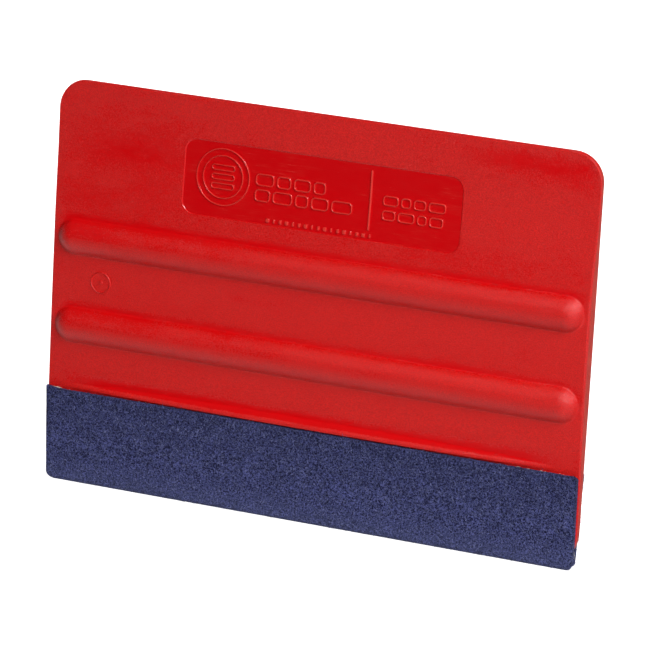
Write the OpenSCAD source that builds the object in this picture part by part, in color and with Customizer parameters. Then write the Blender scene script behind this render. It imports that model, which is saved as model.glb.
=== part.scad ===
// Hand squeegee with a felt edge, standing on its working edge.
// +X runs along the blade, +Y from the panel side to the back, +Z from
// the working edge to the top edge. The origin is under the middle of the
// felt fold, on the surface that the felt rests on.

/* [Blade] */
// Length of the blade along its working edge
blade_w = 100; // [60:1:160]
// Height of the whole tool, felt fold included
tool_h = 72; // [66:0.5:110]
// Thickness of the flexible top lip
lip_t = 1.3; // [1:0.1:1.8]
// Thickness of the stiff middle, between the ribs
mid_t = 3; // [2.4:0.1:4]
// Thickness of the working edge, inside the felt
edge_t = 1.1; // [0.8:0.1:1.6]
// Radius of the two top corners
corner_r = 5.2; // [2:0.1:8]
// Radius of the two bottom corners
foot_r = 5; // [1:0.1:6]
// Slope of the end faces, as inset over depth from the parting line
end_draft = 0.3; // [0:0.05:0.4]

/* [Grip ribs] */
// Width of each half-round rib
rib_w = 6.3; // [4:0.1:7]
// Height of each rib above the blade
rib_h = 2; // [1:0.1:3]
// Length of each rib, rounded ends included
rib_len = 97.2; // [50:0.1:97.2]
// Height of the upper rib's middle above the ground
rib_top_z = 44.4; // [42:0.1:46]
// Height of the lower rib's middle above the ground
rib_low_z = 28.6; // [26:0.1:31]

/* [Stop ridge] */
// Length of the curved ridge that the felt butts against
ridge_len = 94; // [50:1:96]
// Height of the ridge above the blade at its middle
ridge_h = 1; // [0.4:0.1:1.4]
// Height of the ridge's upright band
ridge_band = 1.1; // [0.8:0.1:2.5]
// Height of the slope above the band
ridge_slope = 1.8; // [0.5:0.1:2.5]

/* [Badge panel] */
// Width of the shallow panel
panel_w = 51.4; // [40:0.1:60]
// Height of the panel
panel_h = 13.2; // [10:0.1:14]
// Height of the panel's middle above the ground
panel_z = 58.1; // [57:0.1:60]
// Radius of the panel's corners
panel_r = 2.3; // [0.5:0.1:4]
// Depth of the panel below the blade's face
panel_depth = 0.2; // [0.1:0.05:0.3]
// Width of the raised lines in the panel
line_w = 0.35; // [0.25:0.05:0.5]
// Outer radius of the ring badge
badge_r = 4.9; // [4:0.1:6]

/* [Felt] */
// Thickness of the felt
felt_t = 1; // [0.6:0.1:2]
// Thickness of the adhesive film under the felt
film_t = 0.12; // [0.05:0.01:0.2]
// Height of the felt's upper edge above the ground
felt_h = 16.8; // [10:0.1:16.8]
// Length of the felt along the blade
felt_w = 99.4; // [60:0.1:99.4]
// Width of the flat under the fold
fold_flat = 1.6; // [1:0.1:2]

/* [Hidden] */
$fn = 48;
eps = 0.01;
deep = 20;                         // reach of a cutter, longer than the blade is thick
edge_z = felt_t + film_t;          // underside of the blade, inside the fold
mid_low_z = 30;                    // the stiff middle starts here
mid_high_z = 49;                   // and ends here
lip_z = 60;                        // from here up the lip keeps its thickness
band_z = felt_h + 0.1;             // the ridge stands just above the felt
fold_r = (edge_t + 2 * edge_z - fold_flat) / 2;
felt_flank = (mid_t - edge_t) / 2 / (mid_low_z - edge_z);  // taper of one face
flank_y = edge_t / 2 + felt_flank * (felt_h - edge_z);     // blade's face at the felt's top
badge_x = -18.3;                   // middle of the badge, along the blade
badge_ring_gap = 1.2;              // from the outside of the outer ring to that of the inner one
badge_bar = [4.2, 0.9];            // width and height of a bar in the badge
badge_bar_pitch = 1.6;
divider_x = 9;
divider_h = 10;
bar_r = 0.44;                      // corner radius of the blank bars
bar_gap = 0.75;                    // space between neighbouring bars in a row
dash = [0.45, 0.26];               // width and height of a dash under the bars
dash_count = 17;
dash_pitch = 1.18;
dash_x = -9.5;                     // first dash
dash_drop = 5.8;                   // dashes below the panel's middle
mark = [-40.2, 36.9];              // small moulded ring between the ribs, [x, z]
mark_r = 1.8;
mark_h = 0.12;                     // how far the moulded ring stands out

// Rows of blank bars: [left end, height above the panel's middle, bar height, bar widths]
bar_rows = [
    [-12.1, 1.1, 1.9, [3.2, 2.4, 2.9, 2]],
    [-12.1, -1.6, 1.9, [2.6, 3.4, 2.2, 3, 3.6]],
    [11.4, 0.75, 1.5, [2.6, 1.6, 2, 2.9]],
    [11.4, -1.75, 1.5, [2.2, 2.8, 1.5, 2.3]],
];

// Right-hand half of the blade's section: [distance from the middle, height]
half_section = [
    [edge_t / 2, edge_z],
    [mid_t / 2, mid_low_z],
    [mid_t / 2, mid_high_z],
    [lip_t / 2, lip_z],
    [lip_t / 2, tool_h],
];

// Puts a section drawn in (Y, Z) along X, centred on the origin
module along_x(length) {
    rotate([90, 0, 90]) translate([0, 0, -length / 2]) linear_extrude(length) children();
}

// Puts an outline drawn in (X, Z) along Y, centred on the origin
module along_y(length) {
    rotate([90, 0, 0]) translate([0, 0, -length / 2]) linear_extrude(length) children();
}

module rounded_bar(w, h, r) {
    square([w - 2 * r, h], center = true);
    square([w, h - 2 * r], center = true);
    for (x = [-1, 1], y = [-1, 1]) translate([x * (w / 2 - r), y * (h / 2 - r)]) circle(r);
}

module bar_outline(w, h) {
    difference() {
        rounded_bar(w, h, bar_r);
        square([w - 2 * line_w, h - 2 * line_w], center = true);
    }
}

module ring(r) {
    difference() { circle(r); circle(r - line_w); }
}

// Rectangle across the middle, from one height to another
module band(w, low, high) {
    translate([-w / 2, low]) square([w, high - low]);
}

module blade_section() {
    left_half = [for (i = [len(half_section) - 1:-1:0]) [-half_section[i][0], half_section[i][1]]];
    polygon(concat(half_section, left_half));
}

// Outline seen from the front: large round corners at the top, smaller ones at the foot
module blade_outline() {
    foot_z = edge_z + foot_r;
    top_z = tool_h - corner_r;
    band(blade_w, foot_z, top_z);
    band(blade_w - 2 * foot_r, edge_z, top_z);
    band(blade_w - 2 * corner_r, foot_z, tool_h);
    for (side = [-1, 1]) {
        translate([side * (blade_w / 2 - foot_r), foot_z]) circle(foot_r);
        translate([side * (blade_w / 2 - corner_r), top_z]) circle(corner_r);
    }
}

// Plan of the blade: the end faces slope in from the parting line
module blade_plan() {
    inset = end_draft * mid_t / 2;
    side = [[blade_w / 2 - inset, -mid_t / 2], [blade_w / 2, 0], [blade_w / 2 - inset, mid_t / 2]];
    polygon(concat(side, [for (i = [2:-1:0]) [-side[i][0], side[i][1]]]));
}

module rib(z) {
    // a rod, sunk so that only rib_h of it stands out and it is rib_w wide at the blade's face
    rod_r = (rib_h * rib_h + rib_w * rib_w / 4) / (2 * rib_h);
    straight = rib_len / 2 - rib_w / 2;
    for (side = [-1, 1]) translate([0, side * (mid_t / 2 + rib_h - rod_r), z]) {
        rotate([0, 90, 0]) cylinder(r = rod_r, h = 2 * straight, center = true);
        for (x = [-straight, straight]) translate([x, 0, 0]) sphere(rod_r);
    }
}

// Crescent ridge: the outside of a very large cylinder, cut to an upright band and a slope
module ridge() {
    half = ridge_len / 2;
    bow_r = (half * half + ridge_h * ridge_h) / (2 * ridge_h);
    crest_y = flank_y + ridge_h;
    crest_z = band_z + ridge_band;
    intersection() {
        for (side = [0, 1]) mirror([0, side, 0])
            translate([0, bow_r - crest_y, band_z])
                cylinder(r = bow_r, h = ridge_band + ridge_slope, $fn = 1440);
        along_x(ridge_len) polygon([
            [-crest_y, band_z], [crest_y, band_z], [crest_y, crest_z],
            [flank_y, crest_z + ridge_slope], [-flank_y, crest_z + ridge_slope],
            [-crest_y, crest_z],
        ]);
    }
}

// Left end of a bar in a row, from the row's own start
function bar_start(widths, i) = i == 0 ? 0 : bar_start(widths, i - 1) + widths[i - 1] + bar_gap;

module bar_row(left, up, h, widths) {
    for (i = [0:len(widths) - 1])
        translate([left + bar_start(widths, i) + widths[i] / 2, up]) bar_outline(widths[i], h);
}

// Generic raised marks: a ring badge, blank bars where a name could stand, a divider, dashes
module panel_marks() {
    translate([0, panel_z]) {
        translate([badge_x, 0]) {
            ring(badge_r);
            ring(badge_r - badge_ring_gap);
            for (i = [-1:1]) translate([0, i * badge_bar_pitch])
                bar_outline(badge_bar[0], badge_bar[1]);
        }
        translate([divider_x, 0]) square([line_w, divider_h], center = true);
        for (row = bar_rows) bar_row(row[0], row[1], row[2], row[3]);
        for (i = [0:dash_count - 1]) translate([dash_x + i * dash_pitch, -dash_drop])
            square(dash, center = true);
    }
}

// Small moulded ring with a dot, a little above the blade's face
module mould_mark() {
    intersection() {
        translate([0, -deep / 2, 0]) along_y(deep) translate(mark) {
            ring(mark_r);
            circle(line_w);
        }
        translate([0, -mark_h, 0]) along_x(blade_w) blade_section();
    }
}

// Shallow polished panel; the marks stay level with the blade's face
module panel_cut() {
    intersection() {
        translate([0, -deep / 2, 0]) along_y(deep) difference() {
            translate([0, panel_z]) rounded_bar(panel_w, panel_h, panel_r);
            panel_marks();
        }
        difference() {
            translate([0, -eps, 0]) along_x(blade_w) blade_section();
            translate([0, panel_depth, 0]) along_x(blade_w + 1) blade_section();
        }
    }
}

module blade() {
    color("crimson") {
        difference() {
            intersection() {
                along_x(blade_w + 1) blade_section();
                along_y(deep) blade_outline();
                linear_extrude(tool_h) blade_plan();
            }
            panel_cut();
        }
        rib(rib_top_z);
        rib(rib_low_z);
        ridge();
        mould_mark();
    }
}

// Section of whatever wraps the working edge out to a distance from the blade
module wrap_section(out) {
    flank = out + edge_t / 2;
    polygon([
        [-flank, edge_z], [flank, edge_z],
        [flank_y + out, felt_h], [-flank_y - out, felt_h],
    ]);
}

module felt_strip() {
    color("darkslateblue") along_x(felt_w) difference() {
        union() {
            wrap_section(edge_z);
            translate([-edge_t / 2 - edge_z + fold_r, 0]) square([fold_flat, edge_z + eps]);
            for (side = [-1, 1]) translate([side * fold_flat / 2, fold_r]) circle(fold_r);
        }
        wrap_section(film_t);
        translate([-edge_t / 2 - film_t, felt_t]) square([edge_t + 2 * film_t, 2 * film_t]);
    }
}

module adhesive_film() {
    color("ivory") along_x(felt_w) difference() {
        union() {
            wrap_section(film_t);
            translate([-edge_t / 2 - film_t, felt_t]) square([edge_t + 2 * film_t, 2 * film_t]);
        }
        wrap_section(0);
    }
}

blade();
felt_strip();
adhesive_film();
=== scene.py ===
"""Looks of a hand squeegee: a moulded plastic blade with two grip ribs on each face, a felt
strip folded round its working edge, and the adhesive film between them.

Shapes are worked out in millimetres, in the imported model's frame: +X along the blade, -Y the
panel side, +Z up. add_mesh() turns them into metres.
"""

import math

import bpy
import numpy as np
from mathutils import Matrix, Vector, noise
from mathutils.geometry import delaunay_2d_cdt
from mathutils.kdtree import KDTree


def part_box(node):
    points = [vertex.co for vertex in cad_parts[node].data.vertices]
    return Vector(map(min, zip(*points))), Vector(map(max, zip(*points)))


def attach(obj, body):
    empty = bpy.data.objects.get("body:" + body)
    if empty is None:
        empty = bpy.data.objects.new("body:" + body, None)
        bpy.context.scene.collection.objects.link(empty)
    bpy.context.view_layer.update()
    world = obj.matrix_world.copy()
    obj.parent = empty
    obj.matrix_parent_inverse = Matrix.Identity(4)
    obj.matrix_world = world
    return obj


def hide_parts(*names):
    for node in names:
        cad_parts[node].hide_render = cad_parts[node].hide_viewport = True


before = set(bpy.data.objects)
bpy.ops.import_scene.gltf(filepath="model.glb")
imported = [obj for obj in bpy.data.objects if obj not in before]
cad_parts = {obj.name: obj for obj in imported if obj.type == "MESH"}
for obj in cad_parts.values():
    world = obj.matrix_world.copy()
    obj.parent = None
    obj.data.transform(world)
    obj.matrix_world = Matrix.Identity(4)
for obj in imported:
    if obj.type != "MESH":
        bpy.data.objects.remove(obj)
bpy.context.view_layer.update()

MM = 0.001
SEED = 7


def node_box(name):
    """Lowest and highest corner of a CAD node, in millimetres."""
    return [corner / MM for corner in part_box(name)]


BLADE_LOW, BLADE_HIGH = node_box("blade")
FELT_LOW, FELT_HIGH = node_box("felt_strip")

# Blade section: height, half thickness, and how softly the face bends there
EDGE_Z = BLADE_LOW.z
TOOL_H = BLADE_HIGH.z
HALF_W = BLADE_HIGH.x
EDGE_HALF_T = 0.55
MID_HALF_T = 1.5
LIP_HALF_T = 0.65
SECTION = (
    (EDGE_Z, EDGE_HALF_T, 0),
    (30, MID_HALF_T, 2.5),
    (49, MID_HALF_T, 2.0),
    (60, 0.7, 2.0),
    (TOOL_H, LIP_HALF_T, 0),
)
CORNER_R = 5.2  # radius of the outline's upper corners
FOOT_R = 5  # and of its lower ones
END_DRAFT = 0.3  # inset of the outline per millimetre away from the parting line
PARTING_INSET = 0.008
LIP_ROUND = 0.2  # rounding of the outline's edges at the thin lip
MID_ROUND = 0.35  # and where the blade is thickest
ROUND_STEPS = 7

# Grip ribs: a half-round bar with round ends, blended into the face
RIB_W = 6.3
RIB_H = BLADE_HIGH.y - MID_HALF_T
RIB_LEN = 97.2
RIB_STRAIGHT = (RIB_LEN - RIB_W) / 2  # from the middle to where a round end starts
RIB_ZS = (44.4, 28.65)
RIB_BLEND = 0.5

# Ridge that the felt butts against: highest in the middle, fading out at both ends
RIDGE_LOW_Z = 17.04
RIDGE_BEND_Z = 17.38  # from here up the ridge slopes back to the face
RIDGE_X = -0.45
RIDGE_HALF = 46.95
RIDGE_H = 1.0
RIDGE_FADE = 2.4  # the higher, the later its height falls off towards the ends
RIDGE_SOFT = 0.04  # half the width of its sharp bends
RIDGE_RUN_END, RIDGE_RUN_MID = 0.7, 1.5  # height of that slope

# Shallow polished panel, and the raised lines in it
PANEL = (0, 58.1, 51.4, 13.2, 2.3)  # centre x, centre z, width, height, corner radius
PANEL_DEPTH = 0.15
PANEL_WALL = 0.2  # width of the slope round its floor
LINE_HALF = 0.15  # half width and height of a raised line
LINE_H = 0.27

# Small ring with a dot in it, beside the ribs; both are given like PANEL
MOULD_MARK = (-40.2, 36.9, 3.6, 3.6, 1.8)
MOULD_DOT = (*MOULD_MARK[:2], 0.5, 0.5, 0.25)

# Polished patches of the front: strength, centre x and z, reach along x and z
PATCHES = (
    (0.75, -34, 61, 16, 6),
    (0.85, 40, 69, 15, 3.4),
    (0.3, 0, 50.5, math.inf, 4),
)

# Felt, folded round the working edge
FELT_T = 1.0
FILM_T = 0.12
FELT_TOP = FELT_HIGH.z - 0.15
FOLD_R = 0.87
FELT_LEFT, FELT_RIGHT = -49.28, 49.58  # the strip's ends at the fold, on the front
FELT_SPREAD = 0.36  # how much wider it gets from the fold to its top edge
BACK_SHORT = 0.48  # how much shorter its right end is on the back
NAP_LIFT = 0.085  # height of the matting
CUT_NAP_LIFT = 0.03  # and its height on the strip's very edge
EDGE_SINK = (0.14, 0.04, 0)  # how the face rounds off: on the edge, beside it, and further in
NAP_RUN = 36  # millimetres of matting between the strip's two top edges


# ---------------------------------------------------------------- outlines and distances


def ring(bar, grow=0.0, step=1.0, arc_steps=6):
    """Points round a bar with round corners, grown outwards by `grow`; bar is like PANEL."""
    cx, cz, w, h, r = bar
    r = r + grow
    half_w, half_h = w / 2 + grow - r, h / 2 + grow - r
    corners = [(half_w, half_h), (-half_w, half_h), (-half_w, -half_h), (half_w, -half_h)]
    points = []
    for quarter, (x, z) in enumerate(corners):
        for angle in np.linspace(quarter * 90, quarter * 90 + 90, arc_steps + 1):
            a = math.radians(angle)
            points.append((x + r * math.cos(a), z + r * math.sin(a)))
        start, end = points[-1], corners[(quarter + 1) % 4]
        a = math.radians(quarter * 90 + 90)
        end = (end[0] + r * math.cos(a), end[1] + r * math.sin(a))
        run = math.dist(start, end)
        pieces = max(1, round(run / step))
        for i in range(1, pieces + (1 if run < 1e-6 else 0)):
            points.append(tuple(np.array(start) + (np.array(end) - start) * i / pieces))
    kept = [p for i, p in enumerate(points) if math.dist(p, points[i - 1]) > 1e-4]
    return np.array(kept) + (cx, cz)


def to_bar(x, z, bar):
    """Signed distance to a bar with round corners, negative inside it."""
    cx, cz, w, h, r = bar
    qx = np.abs(x - cx) - (w / 2 - r)
    qz = np.abs(z - cz) - (h / 2 - r)
    outside = np.hypot(np.maximum(qx, 0), np.maximum(qz, 0))
    return outside + np.minimum(np.maximum(qx, qz), 0) - r


def smooth(t):
    t = np.clip(t, 0, 1)
    return t * t * (3 - 2 * t)


def ramp(t, width):
    """0 below, t above, joined by a curve that reaches `width` to each side."""
    if width == 0:
        return np.maximum(t, 0)
    return np.where(t < -width, 0, np.where(t > width, t, (t + width) ** 2 / (4 * width)))


# ---------------------------------------------------------------- the blade's faces


def half_thickness(z):
    """Half the blade's thickness at height z, without ribs, ridge and panel."""
    slopes = [(b[1] - a[1]) / (b[0] - a[0]) for a, b in zip(SECTION, SECTION[1:])]
    level = SECTION[0][1] + slopes[0] * (z - SECTION[0][0])
    for (knot_z, _, soft), before, after in zip(SECTION[1:-1], slopes, slopes[1:]):
        level = level + (after - before) * ramp(z - knot_z, soft)
    return level


RIB_R = (RIB_H**2 + RIB_W**2 / 4) / (2 * RIB_H)
RIB_SUNK = RIB_R - RIB_H
RIB_REACH = math.sqrt((RIB_R + RIB_BLEND) ** 2 - (RIB_SUNK + RIB_BLEND) ** 2)
RIB_TANGENT = RIB_REACH * RIB_R / (RIB_R + RIB_BLEND)


def rib_height(r):
    """Height of a rib at distance r from its axis: a round top and a hollow blend."""
    top = np.sqrt(np.maximum(RIB_R**2 - r**2, 0)) - RIB_SUNK
    blend = RIB_BLEND - np.sqrt(np.maximum(RIB_BLEND**2 - (RIB_REACH - r) ** 2, 0))
    return np.where(r < RIB_TANGENT, top, np.where(r < RIB_REACH, blend, 0))


def to_rib(x, z, rib_z):
    """Distance to the axis of the rib at height rib_z."""
    return np.hypot(np.maximum(np.abs(x) - RIB_STRAIGHT, 0), z - rib_z)


def ribs(x, z):
    return sum(rib_height(to_rib(x, z, rib_z)) for rib_z in RIB_ZS)


def ridge_crest(x):
    """Height of the ridge at x; below zero past its ends."""
    return RIDGE_H * (1 - (np.abs(x - RIDGE_X) / RIDGE_HALF) ** RIDGE_FADE)


def ridge(x, z):
    """Height of the ridge: a sheer side above the felt, and a slope back to the face."""
    crest = ridge_crest(x)
    run = RIDGE_RUN_END + (RIDGE_RUN_MID - RIDGE_RUN_END) * np.clip(crest, 0, 1)
    body = crest * (1 - smooth((z - RIDGE_BEND_Z) / run))
    return ramp(body, RIDGE_SOFT) * smooth((z - RIDGE_LOW_Z + RIDGE_SOFT) / (2 * RIDGE_SOFT))


def bar_row(left, z, widths, height, r, gap):
    """Bars with round corners, side by side from `left` on, each given like PANEL."""
    bars = []
    for width in widths:
        bars.append((left + width / 2, z, width, height, r))
        left += width + gap
    return bars


def panel_outlines():
    """Generic raised marks: a ring badge that holds three bars, and four rows of blank bars."""
    cx, cz = PANEL[:2]
    badge_x, badge_z = cx - 18.3, cz + 0.6
    lines = [(badge_x, badge_z, across, across, across / 2) for across in (9.8, 7.4)]
    lines += [(badge_x, badge_z + dz, 4.2, 0.9, 0.44) for dz in (-1.6, 0, 1.6)]
    left_x, right_x = cx - 12.1, cx + 11.4
    lines += bar_row(left_x, cz + 1.1, (3.2, 2.4, 2.9, 2.0), 1.9, 0.6, 0.75)
    lines += bar_row(left_x, cz - 1.6, (2.6, 3.4, 2.2, 3.0, 3.6), 1.9, 0.6, 0.75)
    lines += bar_row(right_x, cz + 0.75, (2.6, 1.6, 2.0, 2.9), 1.5, 0.5, 0.7)
    lines += bar_row(right_x, cz - 1.75, (2.2, 2.8, 1.5, 2.3), 1.5, 0.5, 0.7)
    return lines


def panel_solids():
    """The divider, and the row of small dashes under the bars."""
    cx, cz = PANEL[:2]
    divider = (cx + 9, cz + 0.4, 0.1, 10.1, 0.05)
    count, pitch, widths = 17, 1.18, (0.4, 0.1, 0.25)
    dashes = [(cx - 9.5 + i * pitch, cz - 5.7, widths[i % 3], 0.45, 0.05) for i in range(count)]
    return [divider, *dashes]


OUTLINES = panel_outlines()
SOLIDS = panel_solids()


def raised(distance):
    """Height of a raised line at a distance from its middle."""
    return LINE_H * (1 - smooth(distance / LINE_HALF))


def panel_marks(x, z):
    """Height of the panel's raised marks above its floor."""
    marks = np.zeros_like(x)
    for bar in OUTLINES:
        marks = np.maximum(marks, raised(np.abs(to_bar(x, z, bar))))
    for bar in SOLIDS:
        marks = np.maximum(marks, raised(np.maximum(to_bar(x, z, bar), 0)))
    return marks


def panel(x, z):
    """The sunk panel with its marks."""
    return panel_marks(x, z) - PANEL_DEPTH * smooth(-to_bar(x, z, PANEL) / PANEL_WALL)


def mould_mark(x, z):
    """The small ring and its dot, lower than the panel's marks."""
    to_ring = np.abs(to_bar(x, z, MOULD_MARK))
    to_dot = np.maximum(to_bar(x, z, MOULD_DOT), 0)
    return 0.75 * np.maximum(raised(to_ring), raised(to_dot))


def front_height(x, z):
    return half_thickness(z) + ribs(x, z) + ridge(x, z) + panel(x, z) + mould_mark(x, z)


def back_height(x, z):
    return half_thickness(z) + ribs(x, z) + ridge(x, z)


def rib_polish(x, z):
    """Polish of the ribs: in the blends above them, and on their upper slopes to the left."""
    blend_r, blend_half = 3.6, 1.1  # middle and half width of a polished blend, from the axis
    blends = np.zeros_like(x)
    slopes = np.zeros_like(x)
    leftness = np.clip((8 - x) / 60, 0, 1)
    for rib_z in RIB_ZS:
        r = to_rib(x, z, rib_z)
        above = np.clip((z - rib_z) / np.maximum(r, 0.1), 0, 1)
        blends = np.maximum(blends, above * smooth(1 - np.abs(r - blend_r) / blend_half))
        slopes = np.maximum(slopes, above * leftness * smooth((RIB_REACH - r) / 0.8))
    return 0.85 * blends + 0.55 * slopes


def polish(x, z):
    """How polished the front is, 0 to 1: the panel's floor between its marks, the hollow slope
    of the ridge, parts of the ribs, and the patches."""
    floor = smooth(-to_bar(x, z, PANEL) / PANEL_WALL)
    floor = floor * (1 - np.clip(panel_marks(x, z) / (0.6 * LINE_H), 0, 1))
    crest = np.clip(ridge_crest(x) * 3, 0, 1)
    slope_low, slope_high = 17.65, 20.2
    slope = crest * smooth((z - slope_low) / 0.5) * smooth((slope_high - z) / 0.7)
    total = floor + slope + rib_polish(x, z)
    for strength, cx, cz, reach_x, reach_z in PATCHES:
        total = total + strength * np.exp(-(((x - cx) / reach_x) ** 2) - ((z - cz) / reach_z) ** 2)
    return np.clip(total, 0, 1)


# ---------------------------------------------------------------- mesh helpers


def add_mesh(name, points, faces, materials, face_material=None, normals=None, polished=None):
    """A smooth-shaded object from points in millimetres. `polished` is a value per point that
    the material reads."""
    mesh = bpy.data.meshes.new(name)
    mesh.from_pydata((np.asarray(points) * MM).tolist(), [], faces)
    mesh.update()
    for material in materials:
        mesh.materials.append(material)
    if face_material is not None:
        mesh.polygons.foreach_set("material_index", np.asarray(face_material, np.int32))
    mesh.polygons.foreach_set("use_smooth", np.ones(len(mesh.polygons), bool))
    if normals is not None:
        mesh.normals_split_custom_set_from_vertices(normals.tolist())
    if polished is not None:
        attribute = mesh.attributes.new("polish", "FLOAT", "POINT")
        attribute.data.foreach_set("value", np.asarray(polished, np.float32))
    made = bpy.data.objects.new(name, mesh)
    bpy.context.scene.collection.objects.link(made)
    return made


def fill_points(boundary, features, spacing):
    """Points of a triangular grid over the boundary's box, clear of all the other points."""
    tree = KDTree(len(boundary) + len(features))
    for i, (x, z) in enumerate([*boundary, *features]):
        tree.insert((x, z, 0), i)
    tree.balance()
    low, high = boundary.min(0), boundary.max(0)
    rows = np.arange(low[1] + spacing / 2, high[1], spacing * math.sqrt(3) / 2)
    found = []
    for i, z in enumerate(rows):
        for x in np.arange(low[0] + spacing * (0.5 + 0.5 * (i % 2)), high[0], spacing):
            if tree.find((x, z, 0))[2] > spacing * 0.55:
                found.append((x, z))
    return found


def triangulate(boundary, loops, lines, spacing):
    """Triangles inside the boundary that keep every loop and line as edges. Returns the 2D
    points and the triangles; the first len(boundary) points are the boundary's own."""
    points = [tuple(p) for p in boundary]
    edges = [(i, (i + 1) % len(points)) for i in range(len(points))]
    for chain, closed in [(c, True) for c in loops] + [(c, False) for c in lines]:
        first = len(points)
        points += [tuple(p) for p in chain]
        edges += [(first + i, first + i + 1) for i in range(len(chain) - 1)]
        if closed:
            edges.append((len(points) - 1, first))
    points += fill_points(boundary, np.array(points[len(boundary):]), spacing)
    result = delaunay_2d_cdt([Vector(p) for p in points], edges, [], 1, 1e-6)
    verts, _, faces, origins = result[:4]
    found = np.array([tuple(v) for v in verts])
    place = np.full(len(found), -1)
    for i, origin in enumerate(origins):
        own = [o for o in origin if o < len(boundary)]
        if own:
            place[i] = own[0]
    extra = np.flatnonzero(place < 0)
    place[extra] = len(boundary) + np.arange(len(extra))
    flat = np.zeros((len(boundary) + len(extra), 2))
    flat[place] = found
    return flat, [[int(place[i]) for i in face] for face in faces]


def rib_loops():
    """Rings and an axis line for each rib, close together where the surface curves."""
    top = RIB_R * np.sin(np.linspace(0, math.asin(RIB_TANGENT / RIB_R), 13))[1:]
    blend = RIB_REACH - RIB_BLEND * np.sin(
        np.linspace(0, math.asin((RIB_REACH - RIB_TANGENT) / RIB_BLEND), 6)
    )[:-1]
    loops, lines = [], []
    stations = 76
    for rib_z in RIB_ZS:
        for r in [*top, *blend]:
            bar = (0, rib_z, 2 * (RIB_STRAIGHT + r), 2 * r, r)
            loops.append(ring(bar, step=1.3, arc_steps=12))
        xs = np.linspace(-RIB_STRAIGHT, RIB_STRAIGHT, stations)
        lines.append(np.stack([xs, np.full(stations, rib_z)], 1))
    return loops, lines


def ridge_lines():
    """Lines along the ridge at every height where it bends."""
    heights = [RIDGE_LOW_Z + d for d in (-0.06, -0.04, -0.02, 0, 0.02, 0.04, 0.08, 0.3, 0.8)]
    heights += list(np.arange(RIDGE_BEND_Z, RIDGE_BEND_Z + RIDGE_RUN_MID + 0.1, 0.1))
    stations, end_gap = 98, 1.4
    xs = np.linspace(-HALF_W + end_gap, HALF_W - end_gap, stations)
    return [np.stack([xs, np.full(stations, z)], 1) for z in heights]


def mark_loops():
    """Rings across the panel's wall and across every raised line."""
    loops = []
    for grow in (0.08, 0, -0.04, -0.08, -0.12, -0.16, -0.2, -0.24, -0.32):
        loops.append(ring(PANEL, grow, step=0.9, arc_steps=10))
    for bar in [*OUTLINES, MOULD_MARK]:
        arc_steps = 24 if bar[4] > 2 else 14 if bar[4] > 1 else 5
        for grow in (-0.2, -0.15, -0.1, -0.05, 0, 0.05, 0.1, 0.15, 0.2):
            if bar[4] + grow > 0.02:
                loops.append(ring(bar, grow, step=0.5, arc_steps=arc_steps))
    for bar in [*SOLIDS, MOULD_DOT]:
        for grow in (0, 0.07, 0.14, 0.2):
            loops.append(ring(bar, grow, step=0.6, arc_steps=3))
    return loops


# ---------------------------------------------------------------- the blade


def blade_outline():
    """Points round the blade, anticlockwise as seen from -Y, and the outward direction there."""
    points, outward = [], []

    def arc(cx, cz, r, start, steps):
        for angle in np.linspace(start, start + 90, steps + 1):
            a = math.radians(angle)
            points.append((cx + r * math.cos(a), cz + r * math.sin(a)))
            outward.append((math.cos(a), math.sin(a)))

    def run(start, end, direction, step):
        count = max(2, round(math.dist(start, end) / step))
        for i in range(1, count):
            points.append(tuple(np.array(start) + (np.array(end) - start) * i / count))
            outward.append(direction)

    foot_x, top_x = HALF_W - FOOT_R, HALF_W - CORNER_R
    foot_z, top_z = EDGE_Z + FOOT_R, TOOL_H - CORNER_R
    corner_steps, foot_steps = 20, 8
    top_step, side_step, edge_step = 1.2, 0.8, 1.5
    arc(top_x, top_z, CORNER_R, 0, corner_steps)
    run((top_x, TOOL_H), (-top_x, TOOL_H), (0, 1), top_step)
    arc(-top_x, top_z, CORNER_R, 90, corner_steps)
    run((-HALF_W, top_z), (-HALF_W, foot_z), (-1, 0), side_step)
    arc(-foot_x, foot_z, FOOT_R, 180, foot_steps)
    run((-foot_x, EDGE_Z), (foot_x, EDGE_Z), (0, -1), edge_step)
    arc(foot_x, foot_z, FOOT_R, 270, foot_steps)
    run((HALF_W, foot_z), (HALF_W, top_z), (1, 0), side_step)
    return np.array(points), np.array(outward)


def rim_profile(half_t, rounding):
    """Inset from the outline, depth and normal of each point across the rim, from the front
    face to the back: rounded edge, sloped wall, parting line, and the same again."""
    wall = math.atan(END_DRAFT)
    tangent = math.tan((math.pi / 2 - wall) / 2) * rounding
    centre = END_DRAFT * half_t + tangent
    rows = []
    for a in np.linspace(0, math.pi / 2 - wall, ROUND_STEPS):
        inset = centre - rounding * math.sin(a)
        rows.append((inset, half_t - rounding + rounding * math.cos(a), math.sin(a), math.cos(a)))
    for depth in (0.6 * half_t, 0.3 * half_t, 0.1):
        rows.append((END_DRAFT * depth, depth, math.cos(wall), math.sin(wall)))
    rows = [(i, -d, n, -m) for i, d, n, m in rows]
    parting = [(PARTING_INSET, 0, 1, 0)]
    return rows + parting + [(i, -d, n, -m) for i, d, n, m in reversed(rows)]


def surface_normals(height, flat, side):
    """Outward normals of a face whose depth is side * height(x, z)."""
    d = 0.004  # step for the slopes
    x, z = flat[:, 0], flat[:, 1]
    slope_x = (height(x + d, z) - height(x - d, z)) / (2 * d)
    slope_z = (height(x, z + d) - height(x, z - d)) / (2 * d)
    normals = np.stack([-slope_x, np.full(len(x), side), -slope_z], 1)
    return normals / np.linalg.norm(normals, axis=1)[:, None]


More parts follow.
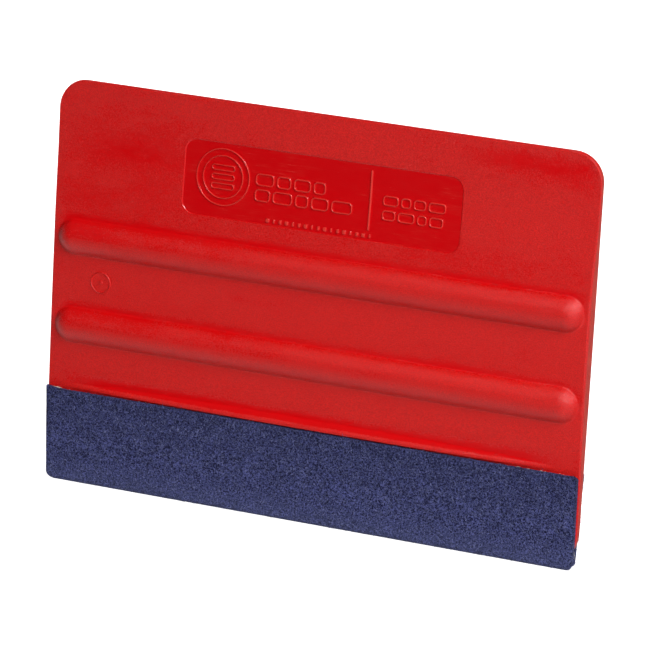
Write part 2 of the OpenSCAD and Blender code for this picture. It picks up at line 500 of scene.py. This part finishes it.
def blade_rim(outline, outward):
    """Points and normals of the rim: a row across it, front to back, at each outline point."""
    profiles = []
    for _, z in outline:
        half_t = float(half_thickness(z))
        share = np.clip((half_t - LIP_HALF_T) / (MID_HALF_T - LIP_HALF_T), 0, 1)
        profiles.append(rim_profile(half_t, LIP_ROUND + (MID_ROUND - LIP_ROUND) * share))
    inset, depth, n_out, n_deep = np.moveaxis(np.array(profiles), 2, 0)
    rim = np.zeros((*inset.shape, 3))
    rim[:, :, [0, 2]] = outline[:, None] - outward[:, None] * inset[:, :, None]
    rim[:, :, 1] = depth
    normals = np.zeros_like(rim)
    normals[:, :, [0, 2]] = outward[:, None] * n_out[:, :, None]
    normals[:, :, 1] = n_deep
    return rim, normals


def build_blade(materials):
    """The blade: a rim, and a front and a back face that share its outer points. The back is
    polished in the front's pattern, but fainter. The point value `polish` is -1 on the upright
    end walls, which have a look of their own: fine scratches, and a darker colour that is
    painted shade."""
    outline, outward = blade_outline()
    rim, rim_normals = blade_rim(outline, outward)
    count, across = rim.shape[:2]
    points, normals = list(rim.reshape(-1, 3)), list(rim_normals.reshape(-1, 3))
    is_wall = np.zeros((count, across))
    is_wall[:, ROUND_STEPS:across - ROUND_STEPS] = smooth(np.abs(outward[:, :1]) * 3 - 2)
    polished = list(-is_wall.reshape(-1))
    faces = []
    for k in range(count):
        a, b = k * across, ((k + 1) % count) * across
        faces += [(a + j, a + j + 1, b + j + 1, b + j) for j in range(across - 1)]
    face_material = [0] * len(faces)

    loops, lines = rib_loops()
    lines += ridge_lines()
    spacing, back_polish = 1.5, 0.4
    sides = (
        (-1, 0, front_height, loops + mark_loops(), 1),
        (1, across - 1, back_height, loops, back_polish),
    )
    for side, column, height, side_loops, polish_share in sides:
        boundary = rim[:, column][:, [0, 2]]
        flat, triangles = triangulate(boundary, side_loops, lines, spacing)
        inner = flat[count:]
        index = [*range(column, count * across, across),
                 *range(len(points), len(points) + len(inner))]
        y = side * height(inner[:, 0], inner[:, 1])
        points += list(np.stack([inner[:, 0], y, inner[:, 1]], 1))
        normals += list(surface_normals(height, inner, side))
        polished += list(polish(inner[:, 0], inner[:, 1]) * polish_share)
        for triangle in triangles:
            corner = [index[i] for i in triangle]
            centre = flat[triangle].mean(0)
            in_panel = side < 0 and to_bar(centre[0], centre[1], PANEL) < -PANEL_WALL / 2
            faces.append(corner if side < 0 else corner[::-1])
            face_material.append(1 if in_panel else 0)
    return add_mesh("blade_body", points, faces, materials, face_material, np.array(normals),
                    polished)


# ---------------------------------------------------------------- the folded strips


def wrap_path(out, top_z, step):
    """Section of something folded round the working edge, `out` away from the blade: points
    (y, z) from the front's top edge, round the fold, to the back's top edge, and normals."""
    flank = out + EDGE_HALF_T
    top_y = out + float(half_thickness(top_z))
    radius = max(FOLD_R - (FELT_T + FILM_T - out), 0.05)
    low_z = FELT_T + FILM_T - out
    centre_y = flank - radius
    lean = math.atan2(top_y - flank, top_z - low_z - radius)
    points, normals = [], []
    run = math.hypot(top_y - flank, top_z - low_z - radius)
    for t in np.linspace(0, 1, max(2, round(run / step)) + 1)[:-1]:
        y = top_y + (flank - top_y) * t
        points.append((-y, top_z + (low_z + radius - top_z) * t))
        normals.append((-math.cos(lean), -math.sin(lean)))
    arc_steps = max(3, round(radius * math.pi / 2 / step))
    for a in np.linspace(0, math.pi / 2, arc_steps + 1):
        points.append((-centre_y - radius * math.cos(a), low_z + radius - radius * math.sin(a)))
        normals.append((-math.cos(a), -math.sin(a)))
    flat_steps = max(2, round(2 * centre_y / step))
    for t in np.linspace(0, 1, flat_steps + 1)[1:-1]:
        points.append((-centre_y + 2 * centre_y * t, low_z))
        normals.append((0, -1))
    turn = len(points) - flat_steps + 1  # where the flat starts; up to there it is mirrored
    for y, z in reversed(points[:turn]):
        points.append((-y, z))
    for y, z in reversed(normals[:turn]):
        normals.append((-y, z))
    return np.array(points), np.array(normals)


def lengths_along(path):
    """Length of the path from its start to each of its points."""
    gaps = np.linalg.norm(np.diff(path, axis=0), axis=1)
    return np.concatenate([[0], np.cumsum(gaps)])


def resampled(path, count):
    """The path again as `count` points, evenly spaced."""
    along = lengths_along(path)
    at = np.linspace(0, along[-1], count)
    return np.stack([np.interp(at, along, path[:, k]) for k in range(2)], 1)


def strip_faces(columns, rows, edge_steps=1):
    """Faces of a strip with a closed section: `rows` points along its outer side, as many back
    along its inner side, and `edge_steps` steps across each of its long edges."""
    section = 2 * (rows + edge_steps - 1)
    faces = []
    for i in range(columns - 1):
        for j in range(section):
            a, b = i * section + j, i * section + (j + 1) % section
            faces.append((a, b, b + section, a + section))
    for i, flip in ((0, True), (columns - 1, False)):
        first = i * section
        caps = []
        for j in range(rows - 1):
            near, far = first + j, first + 2 * rows + edge_steps - 2 - j
            caps.append((near, near + 1, far - 1, far))
        if edge_steps > 1:
            for start in (rows - 1, section - edge_steps):
                caps.append([first + (start + k) % section for k in range(edge_steps + 1)])
        faces += [cap if flip else cap[::-1] for cap in caps]
    return faces


def wave(*place):
    """Smooth noise between about -1 and 1 at a place."""
    return noise.noise(Vector(place))


def ruffle(x, s, scale, layer):
    """Noise over the felt's face, at s along its section."""
    return wave(x * scale, s * scale, layer)


def nap(x, s):
    """Height of the felt's matted surface, between about -1 and 1."""
    warp = 0.35 * ruffle(x, s, 1.1, 3.7)
    curls = 1 - 2.4 * abs(ruffle(x + warp, s - warp, 1.45, 11.3))
    clumps = ruffle(x, s, 0.55, 23.1)
    fine = ruffle(x, s, 2.9, 31.9)
    return 0.3 * curls + 0.6 * clumps + 0.6 * fine


def felt_ends(share, z, above_fold):
    """The strip's left and right ends at height z: `share` runs from 0 at the front's top edge
    to 1 at the back's. The ends round in towards the fold and, at the right, at the top."""
    def corner(r, gap):
        """How far a corner of radius r draws the end in at `gap` from the edge beside it."""
        return r - math.sqrt(max(0.0, r * r - max(0.0, r - max(gap, 0)) ** 2))
    up = z / FELT_TOP
    left = FELT_LEFT - FELT_SPREAD * up + corner(1.5, above_fold)
    back = float(smooth((share - 0.44) / 0.12))  # 0 on the front, 1 on the back
    right = FELT_RIGHT - back * (BACK_SHORT - FELT_SPREAD * up)
    right -= corner(1.25 - 0.5 * back, above_fold) + corner(0.65, FELT_TOP - z)
    return left + 0.07 * wave(share * 9, 1.5, 4.2), right + 0.05 * wave(share * 9, 7.5, 2.2)


def felt_rise(x, z):
    """How far the strip's top edge rises above FELT_TOP: a lifted left corner, and fraying."""
    reach, corner_x, corner_reach = 1.2, -49.6, 1.3
    near_top = smooth((z - FELT_TOP + reach) / reach)
    lifted = 0.34 * math.exp(-(((x - corner_x) / corner_reach) ** 2))
    frayed = 0.1 * wave(x * 2.1, 5.1, 0) + 0.05 * wave(x * 6, 9, 0)
    return near_top * (lifted + frayed)


def build_felt(material):
    """The felt strip: a matted outer face, a smooth inner face, and cut edges."""
    step = 0.32
    outer, outer_n = wrap_path(FELT_T + FILM_T, FELT_TOP, step)
    rows = len(outer)
    inner = resampled(wrap_path(FILM_T, FELT_TOP, step)[0], rows)
    columns = round((FELT_HIGH.x - FELT_LOW.x) / step) + 1
    edge_steps = 3
    inner_first = rows + edge_steps - 1
    section = 2 * inner_first
    points = np.zeros((columns, section, 3))
    for i in range(columns):
        t = i / (columns - 1)
        for j in range(rows):
            share = j / (rows - 1)
            y, z = outer[j]
            left, right = felt_ends(share, z, z)
            x = left + (right - left) * t
            edge = min(j, rows - 1 - j, i, columns - 1 - i)
            lift = (NAP_LIFT if edge > 0 else CUT_NAP_LIFT) * nap(x, share * NAP_RUN)
            lift -= EDGE_SINK[min(edge, 2)]
            if z <= 0.3:  # the fold's underside only sinks in, so that it stays on the floor
                lift = min(lift, 0) * 0.5
            ny, nz = outer_n[j]
            z += felt_rise(x, z)
            points[i, j] = (x, y + ny * lift, max(z + nz * lift, 0))
            y, z = inner[rows - 1 - j]
            left, right = felt_ends(1 - share, z, z - FELT_T)
            x = left + (right - left) * t
            points[i, inner_first + j] = (x, y, z + felt_rise(x, z))
    for k in range(1, edge_steps):
        share = k / edge_steps
        back = points[:, rows - 1] * (1 - share) + points[:, inner_first] * share
        front = points[:, section - edge_steps] * (1 - share) + points[:, 0] * share
        for i in range(columns):
            bulge = 0.1 * math.sin(share * math.pi)
            back[i, 2] += bulge + 0.09 * wave(i * 0.7, k * 1.3, 5.1)
            front[i, 2] += bulge + 0.09 * wave(i * 0.7, k * 1.3, 9.1)
        points[:, rows - 1 + k] = back
        points[:, section - edge_steps + k] = front
    faces = strip_faces(columns, rows, edge_steps)
    return add_mesh("felt_cover", points.reshape(-1, 3), faces, [material])


def build_fibres(material):
    """Loose fibres lying on the felt's outer face and over its edges."""
    random = np.random.default_rng(SEED)
    path, normals = wrap_path(FELT_T + FILM_T, FELT_TOP, 0.1)
    along = lengths_along(path)
    total = along[-1]
    count, links = 17000, 4
    lowest = 0.04
    points, faces = [], []

    def on_felt(x, s, lift):
        """A point `lift` above the felt's face at s along its section, and the normal there.
        Past the strip's top edges it goes on upwards."""
        y = np.interp(s, along, path[:, 0])
        z = np.interp(s, along, path[:, 1])
        n = np.array((0, np.interp(s, along, normals[:, 0]), np.interp(s, along, normals[:, 1])))
        over = max(s - total, -s, 0)
        top = np.array((x, y, z)) + n * lift
        top[2] = max(top[2] + over, lowest)
        return top, n

    for _ in range(count):
        x, s = random.uniform(-49.3, 50.0), random.uniform(0.0, total)
        angle = random.uniform(0, 2 * math.pi)
        turn = random.normal(0, 1.4)
        length = random.uniform(0.45, 1.3)
        width = random.uniform(0.025, 0.065)
        arch = random.uniform(0.02, 0.13)
        base = len(points)
        for k in range(links + 1):
            t = k / links
            height = 0.05 + arch * math.sin(math.pi * t) + 0.04 * nap(x, s * NAP_RUN / total)
            here, n = on_felt(x, s, height)
            left, right = felt_ends(min(max(s / total, 0), 1), min(here[2], FELT_TOP), here[2])
            here[0] = min(max(here[0], left - 0.1), right + 0.1)
            heading = np.array((math.cos(angle), -n[2] * math.sin(angle), n[1] * math.sin(angle)))
            aside = np.cross(heading, n)
            half = width / 2 * (1 - 0.6 * abs(2 * t - 1))
            points += [here - aside * half, here + aside * half]
            x += math.cos(angle) * length / links
            s += math.sin(angle) * length / links
            angle += turn / links
        for k in range(links):
            a = base + 2 * k
            faces.append((a, a + 1, a + 3, a + 2))
    return add_mesh("felt_fibres", points, faces, [material])


def film_peek(x, z):
    """How far the film shows above the felt's top edge: in places, and by the left corner."""
    corner_x, corner_reach, fade_z, fade_reach = -47.6, 1.1, 15, 1.5
    ragged = wave(x * 0.7, 3.3, 7.7) + wave(x * 3, 0, 7)
    peek = 0.3 * max(0.0, ragged) + 0.2 * math.exp(-(((x - corner_x) / corner_reach) ** 2))
    return peek * smooth((z - fade_z) / fade_reach)


def film_spill(y, z):
    """How far the film shows past the felt's right end, near the fold."""
    top_z, fade_reach = 4, 2
    return 0.7 * max(0.0, wave(z * 1.4, y, 8.8)) * smooth((top_z - z) / fade_reach)


def build_film(material):
    """The adhesive film between the felt and the blade, a little shorter than the felt."""
    step, top_z, inner_gap = 0.6, FELT_TOP - 0.12, 0.01
    outer, _ = wrap_path(FILM_T, top_z, step)
    rows = len(outer)
    inner = resampled(wrap_path(inner_gap, top_z, step)[0], rows)
    columns = 301
    section = rows * 2
    points = np.zeros((columns, section, 3))
    for i in range(columns):
        t = i / (columns - 1)
        for j in range(rows):
            for place, (y, z) in ((j, outer[j]), (section - 1 - j, inner[j])):
                left, right = felt_ends(j / (rows - 1), min(z, FELT_TOP), z - FELT_T)
                x = left + 0.12 + (right - left - 0.3) * t
                peek = film_peek(x, z)
                x += film_spill(y, z) * t**30  # t**30 is near 0 but for the last few columns
                points[i, place] = (x, y, z + felt_rise(x, z) + peek)
    return add_mesh("adhesive_layer", points.reshape(-1, 3), strip_faces(columns, rows), [material])


# ---------------------------------------------------------------- materials


def linear(r, g, b):
    """A colour given as 0-255 screen values, as the shader takes it."""
    def one(c):
        c /= 255
        return c / 12.92 if c <= 0.04045 else ((c + 0.055) / 1.055) ** 2.4
    return (one(r), one(g), one(b), 1)


class Shader:
    """A small helper that builds a material's nodes and links."""

    def __init__(self, name):
        self.material = bpy.data.materials.new(name)
        self.material.use_nodes = True
        self.nodes = self.material.node_tree.nodes
        self.links = self.material.node_tree.links
        self.nodes.clear()
        self.surface = self.add("ShaderNodeBsdfPrincipled")
        out = self.add("ShaderNodeOutputMaterial")
        self.links.new(self.surface.outputs[0], out.inputs["Surface"])
        self.place = self.add("ShaderNodeTexCoord").outputs["Object"]

    def add(self, kind, **settings):
        node = self.nodes.new(kind)
        for key, value in settings.items():
            setattr(node, key, value)
        return node

    def link(self, output, node, socket):
        self.links.new(output, node.inputs[socket])
        return node

    def set(self, **values):
        """Sets the surface's own sockets; an underscore in a name stands for a space."""
        for key, value in values.items():
            self.surface.inputs[key.replace("_", " ")].default_value = value

    def stretched(self, scale):
        """Object coordinates in millimetres, times `scale` along X, Y and Z."""
        node = self.add("ShaderNodeMapping")
        node.inputs["Scale"].default_value = [s / MM for s in scale]
        self.link(self.place, node, "Vector")
        return node.outputs[0]

    def noise(self, scale, detail=2.0, rough=0.5, distortion=0.0):
        """Noise with `scale` waves to the millimetre along X, Y and Z."""
        scale = scale if isinstance(scale, tuple) else (scale,) * 3
        node = self.add("ShaderNodeTexNoise")
        node.inputs["Scale"].default_value = 1
        node.inputs["Detail"].default_value = detail
        node.inputs["Roughness"].default_value = rough
        node.inputs["Distortion"].default_value = distortion
        self.link(self.stretched(scale), node, "Vector")
        return node.outputs["Fac"]

    def spots(self, scale, reach):
        """1 at the middle of scattered spots, `scale` to the millimetre, 0 away from them."""
        node = self.add("ShaderNodeTexVoronoi")
        node.inputs["Scale"].default_value = 1
        self.link(self.stretched((scale,) * 3), node, "Vector")
        return self.span(node.outputs["Distance"], reach, 0, 0, 1)

    def span(self, value, low, high, to_low, to_high):
        """The value mapped from low..high to to_low..to_high, and held there beyond them."""
        node = self.add("ShaderNodeMapRange")
        for socket, number in zip(("From Min", "From Max", "To Min", "To Max"),
                                  (low, high, to_low, to_high)):
            node.inputs[socket].default_value = number
        self.link(value, node, "Value")
        return node.outputs[0]

    def mix(self, share, a, b):
        """Blend of two colours or colour outputs by `share`."""
        node = self.add("ShaderNodeMix", data_type="RGBA")
        self.links.new(share, node.inputs["Factor"])
        for socket, value in ((node.inputs[6], a), (node.inputs[7], b)):
            if isinstance(value, tuple):
                socket.default_value = value
            else:
                self.links.new(value, socket)
        return node.outputs[2]

    def math(self, operation, a, b):
        """A sum or product and the like, of two numbers or outputs."""
        node = self.add("ShaderNodeMath", operation=operation)
        for socket, value in zip(node.inputs, (a, b)):
            if isinstance(value, (int, float)):
                socket.default_value = value
            else:
                self.links.new(value, socket)
        return node.outputs[0]

    def bump(self, height, depth_mm, before=None):
        """Bump on the surface, on top of the bump `before`."""
        node = self.add("ShaderNodeBump")
        node.inputs["Strength"].default_value = 1
        node.inputs["Distance"].default_value = depth_mm * MM
        self.link(height, node, "Height")
        if before is not None:
            self.link(before, node, "Normal")
        self.link(node.outputs[0], self.surface, "Normal")
        return node.outputs[0]


def plastic_material():
    """Satin moulded plastic: dull grained areas and cloudy polished ones, end walls with fine
    upright scratches and a darker colour that is painted shade, and dust."""
    s = Shader("red_moulded_plastic")
    on_mesh = s.add("ShaderNodeAttribute", attribute_name="polish").outputs["Fac"]
    clouds = s.span(s.noise((0.09, 0.2, 0.2), 5, 0.62, 0.3), 0.42, 0.75, 0, 0.5)
    speckle = s.span(s.noise(4.0, 3, 0.75), 0.3, 0.7, -0.4, 0.4)
    polished = s.math("ADD", s.math("ADD", on_mesh, clouds), speckle)
    polished = s.span(polished, 0.05, 0.95, 0, 1)
    grain = s.noise(5.2, 2, 0.8)
    dull = s.mix(s.span(grain, 0.36, 0.64, 0, 1), linear(202, 0, 0), linear(238, 25, 17))
    red = s.mix(polished, dull, linear(222, 0, 6))
    scratches = s.noise((6, 6, 0.5), 2, 0.6)
    # End walls: real fine upright scratches, in a colour painted darker than the face as painted
    # shade.
    wall = s.mix(s.span(scratches, 0.35, 0.65, 0, 1), linear(188, 34, 22), linear(212, 62, 44))
    red = s.mix(s.span(on_mesh, -0.2, -0.9, 0, 1), red, wall)
    dust = s.math("MULTIPLY", s.spots(0.9, 0.045), s.span(s.noise(0.35, 1), 0.55, 0.6, 0, 1))
    red = s.mix(dust, red, linear(236, 150, 140))
    s.link(red, s.surface, "Base Color")
    s.link(s.span(polished, 0, 1, 0.36, 0.2), s.surface, "Roughness")
    s.set(IOR=1.47)
    first = s.bump(s.math("MULTIPLY", grain, s.span(polished, 0, 1, 1, 0.08)), 0.1)
    s.bump(s.noise(1.3, 2, 0.5), 0.012, first)
    return s.material


def panel_material():
    """Polished floor of the panel: glossy, with faint tool lines along the blade. Its raised
    marks are duller, and painted paler as a painted highlight."""
    s = Shader("red_polished_plastic")
    lines = s.noise((0.3, 1, 4.5), 3, 0.75)
    haze_places = s.span(s.noise(0.12), 0.4, 0.6, 0.1, 1)
    haze = s.math("MULTIPLY", s.span(lines, 0.5, 0.75, 0, 1), haze_places)
    red = s.mix(haze, linear(214, 0, 8), linear(216, 34, 28))
    polished = s.add("ShaderNodeAttribute", attribute_name="polish").outputs["Fac"]
    # The raised marks are rougher, and their paler colour is a painted highlight.
    paler_share = s.span(polished, 0.2, 0.9, 1, 0)
    red = s.mix(paler_share, red, linear(226, 54, 44))
    s.link(red, s.surface, "Base Color")
    rough = s.math("ADD", s.span(lines, 0.3, 0.7, 0.16, 0.28), s.math("MULTIPLY", paler_share, 0.15))
    s.link(rough, s.surface, "Roughness")
    s.set(IOR=1.47)
    first = s.bump(lines, 0.002)
    s.bump(s.noise(4.6, 2, 0.6), 0.004, first)
    return s.material


def felt_material():
    """Matted blue felt: clumps and curled flecks of lighter and darker fibre, lighter towards the
    fold, and darker towards the top edges as painted shade."""
    s = Shader("navy_wool_felt")
    clumps = s.noise(0.35, 3, 0.6, 0.5)
    flecks = s.noise(3.4, 3, 0.75, 0.6)
    blue = s.mix(s.span(flecks, 0.42, 0.66, 0, 1), linear(1, 2, 30), linear(109, 116, 188))
    blue = s.mix(s.span(clumps, 0.35, 0.7, 0, 0.35), blue, linear(20, 22, 54))
    split = s.add("ShaderNodeSeparateXYZ")
    s.link(s.place, split, 0)
    height = split.outputs["Z"]
    # Lighter towards the fold.
    paler_share = s.span(height, 0.5 * MM, 5 * MM, 0.3, 0)
    blue = s.mix(paler_share, blue, linear(92, 98, 146))
    # Painted shade: darker towards the top edges.
    shaded = s.span(height, 8 * MM, 16.5 * MM, 0, 0.35)
    blue = s.mix(shaded, blue, linear(12, 14, 44))
    s.link(blue, s.surface, "Base Color")
    s.set(Roughness=0.95, Sheen_Weight=0.15, Sheen_Roughness=0.5, IOR=1.3)
    s.surface.inputs["Sheen Tint"].default_value = linear(150, 155, 210)
    first = s.bump(s.noise(3.2, 4, 0.75, 0.4), 0.18)
    s.bump(s.noise(6.0, 3, 0.7), 0.1, first)
    return s.material


def fibre_material():
    """Single fibres, each darker or lighter than the felt under it."""
    s = Shader("navy_loose_fibre")
    tone = s.noise(2.6, 2, 0.6)
    blue = s.mix(s.span(tone, 0.42, 0.62, 0, 1), linear(6, 7, 34), linear(134, 141, 198))
    s.link(blue, s.surface, "Base Color")
    s.set(Roughness=0.85, Sheen_Weight=0.2, Sheen_Roughness=0.5, IOR=1.35)
    return s.material


def film_material():
    """Cloudy off-white adhesive."""
    s = Shader("pale_adhesive_film")
    cloud = s.noise(0.8, 3, 0.6)
    pale = s.mix(s.span(cloud, 0.35, 0.65, 0, 1), linear(196, 186, 170), linear(226, 219, 206))
    s.link(pale, s.surface, "Base Color")
    s.set(Roughness=0.45, IOR=1.46)
    s.bump(cloud, 0.02)
    return s.material


# ---------------------------------------------------------------- camera, stage and light


def add_camera():
    """The camera at the photograph's angle, rolled a little about its own line of sight."""
    azimuth, elevation, roll = (math.radians(a) for a in (22.45, 14.91, 3.17))
    distance = 778 * MM
    target = Vector((1.67, 0, 35.42)) * MM
    back = Vector((math.sin(azimuth) * math.cos(elevation),
                   -math.cos(azimuth) * math.cos(elevation), math.sin(elevation)))
    right = Vector((math.cos(azimuth), math.sin(azimuth), 0))
    up = back.cross(right)
    rolled_right = math.cos(roll) * right + math.sin(roll) * up
    rolled_up = -math.sin(roll) * right + math.cos(roll) * up
    data = bpy.data.cameras.new("camera")
    data.lens, data.sensor_width = 252.7, 36
    data.clip_start, data.clip_end = 0.05, 20
    camera = bpy.data.objects.new("camera", data)
    axes = Matrix((rolled_right, rolled_up, back)).transposed().to_4x4()
    camera.matrix_world = Matrix.Translation(target + back * distance) @ axes
    bpy.context.scene.collection.objects.link(camera)
    bpy.context.scene.camera = camera


def add_floor():
    """A plain white floor that only the camera sees."""
    s = Shader("white_floor")
    s.set(Base_Color=(0.8, 0.8, 0.8, 1), Roughness=1.0, Specular_IOR_Level=0.0,
          Emission_Color=(1, 1, 1, 1), Emission_Strength=0.9)
    reach = 6.0 / MM
    corners = [(-reach, -reach, 0), (reach, -reach, 0), (reach, reach, 0), (-reach, reach, 0)]
    floor = add_mesh("floor", corners, [(0, 1, 2, 3)], [s.material])
    stand_by(floor, diffuse=False, glossy=False)


def add_dome(name, reach, material, **seen_by):
    """A closed shell round everything, `reach` millimetres away."""
    bands, sides = 16, 32
    points = []
    for elevation in np.linspace(-90, 90, bands + 1):
        for azimuth in np.linspace(0, 360, sides + 1)[:-1]:
            u, v = math.radians(elevation), math.radians(azimuth)
            flat = reach * math.cos(u)
            points.append((flat * math.cos(v), flat * math.sin(v), reach * math.sin(u)))
    faces = []
    for first in range(0, bands * sides, sides):
        for j in range(sides):
            a, b = first + j, first + (j + 1) % sides
            faces.append((a, b, b + sides, a + sides))
    stand_by(add_mesh(name, points, faces, [material]), **seen_by)


def stand_by(thing, **seen_by):
    """Makes it part of the studio: it blocks no light, and the kinds of ray that are given as
    False don't see it."""
    thing.visible_shadow = False
    thing.visible_transmission = False
    for kind, seen in seen_by.items():
        setattr(thing, "visible_" + kind, seen)


def backdrop_material():
    """Plain white, behind everything."""
    s = Shader("white_backdrop")
    s.set(Base_Color=(0, 0, 0, 1), Specular_IOR_Level=0.0, Emission_Color=(1, 1, 1, 1),
          Emission_Strength=1.0)
    return s.material


def studio_material():
    """What shows in the gloss: a bright table, dim surroundings above it, and a dark patch in
    front, where the photographer would stand."""
    s = Shader("studio_dome")
    direction = s.add("ShaderNodeVectorMath", operation="NORMALIZE")
    s.link(s.place, direction, 0)
    split = s.add("ShaderNodeSeparateXYZ")
    s.link(direction.outputs[0], split, 0)
    facing = s.add("ShaderNodeVectorMath", operation="DOT_PRODUCT")
    facing.inputs[1].default_value = (-0.37, -0.89, -0.26)  # from the middle to that patch
    s.link(direction.outputs[0], facing, 0)
    table = s.span(split.outputs["Z"], -1, -0.15, 1.5, 0.6)
    above = s.span(split.outputs["Z"], -0.12, 0.05, 1, 0.12)
    off_patch = s.span(facing.outputs["Value"], 0.3, 0.85, 1, 0.02)
    steep = s.span(split.outputs["Z"], -0.75, -0.5, 1, 0)
    off_patch = s.math("MAXIMUM", off_patch, steep)
    level = s.math("MULTIPLY", s.math("MULTIPLY", table, above), off_patch)
    s.link(level, s.surface, "Emission Strength")
    s.set(Base_Color=(0, 0, 0, 1), Specular_IOR_Level=0.0, Emission_Color=(1, 1, 1, 1))
    return s.material


def add_world():
    """Even soft light on matt surfaces; the gloss shows the studio dome instead."""
    world = bpy.data.worlds.new("studio")
    bpy.context.scene.world = world
    world.use_nodes = True
    world.node_tree.nodes["Background"].inputs["Color"].default_value = (0.15, 0.15, 0.15, 1)
    world.cycles_visibility.glossy = False


def add_light(name, place, size, power, **seen_by):
    """A square soft light aimed at the middle of the object, in metres and watts."""
    data = bpy.data.lights.new(name, "AREA")
    data.shape, data.size, data.energy = "SQUARE", size, power
    light = bpy.data.objects.new(name, data)
    target = Vector((0, 0, TOOL_H / 2 * MM))
    light.location = place
    for kind, seen in seen_by.items():
        setattr(light, "visible_" + kind, seen)
    light.rotation_mode = "QUATERNION"
    light.rotation_quaternion = (Vector(place) - target).to_track_quat("Z", "Y")
    bpy.context.scene.collection.objects.link(light)


# ---------------------------------------------------------------- the scene

add_camera()
add_floor()
add_dome("backdrop", 4.5 / MM, backdrop_material(), diffuse=False, glossy=False)
add_dome("studio", 7.0 / MM, studio_material(), camera=False, diffuse=False)
add_world()

# Each light shows either on matt surfaces or in the gloss
add_light("key", (0.5, -0.45, 0.53), 0.5, 6.0, glossy=False)
add_light("key_shine", (0.5, -0.37, 0.56), 0.22, 7.2, diffuse=False)
add_light("fill", (0.4, -1.1, 0.15), 0.8, 2.1, glossy=False)
add_light("back_key", (-0.5, 0.6, 0.3), 0.5, 4.2, glossy=False)
add_light("back_fill", (0.1, 1.1, 0.1), 0.8, 3.0, glossy=False)
add_light("table_bounce", (0.02, -0.14, -0.07), 0.15, 0.05, glossy=False)

bpy.context.scene.view_settings.view_transform = "Standard"

blade = build_blade([plastic_material(), panel_material()])
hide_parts("blade")
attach(blade, "root")

felt = build_felt(felt_material())
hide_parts("felt_strip")
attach(felt, "root")

fibres = build_fibres(fibre_material())
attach(fibres, "root")

film = build_film(film_material())
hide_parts("adhesive_film")
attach(film, "root")
